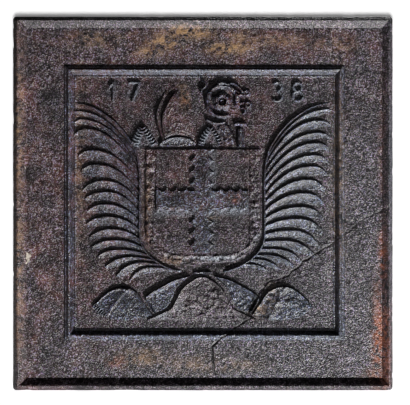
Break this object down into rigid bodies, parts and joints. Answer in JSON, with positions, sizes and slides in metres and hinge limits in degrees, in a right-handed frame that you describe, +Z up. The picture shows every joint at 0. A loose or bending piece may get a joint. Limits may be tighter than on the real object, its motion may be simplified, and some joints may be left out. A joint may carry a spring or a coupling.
{
  "type": "fireback",
  "caption": "Square cast-iron fireback with a raised rim, flat border, moulded bead and a relief of shield, mitre, crozier, palms, ribbon and plain numerals.",
  "frame": {"origin": "middle of the underside, at the bottom centre of the bounding box", "axes": "+Z up, relief faces -Y, flat back faces +Y, +X to the right as seen from the front"},
  "size_m": [0.66, 0.029, 0.65],
  "materials": {
    "sooty_iron": "rough as-cast skin, soot-dark with a brown cast",
    "rusty_iron": "rough as-cast skin with thin brown rust",
    "worn_iron": "raised ornament, rubbed grey on the crests"
  },
  "bodies": {
    "root": {"plate": "sooty_iron", "rim_top": "rusty_iron", "rim_bottom": "rusty_iron", "rim_left": "rusty_iron", "rim_right": "rusty_iron", "bead_top": "worn_iron", "bead_bottom": "worn_iron", "bead_left": "worn_iron", "bead_right": "worn_iron", "shield": "sooty_iron", "shield_cross": "worn_iron", "mitre_front": "sooty_iron", "mitre_back": "rusty_iron", "mitre_band": "worn_iron", "lappet_left": "worn_iron", "lappet_right": "worn_iron", "crozier_crook": "worn_iron", "crozier_leaves": "worn_iron", "crozier_flower": "worn_iron", "crozier_knop": "worn_iron", "crozier_staff": "worn_iron", "palm_left": "worn_iron", "palm_right": "worn_iron", "knot": "worn_iron", "stem_ends": "rusty_iron", "ribbon_left": "worn_iron", "ribbon_right": "worn_iron", "numeral_1": "worn_iron", "numeral_2": "worn_iron", "numeral_3": "worn_iron", "numeral_4": "worn_iron"}
  },
  "joints": []
}
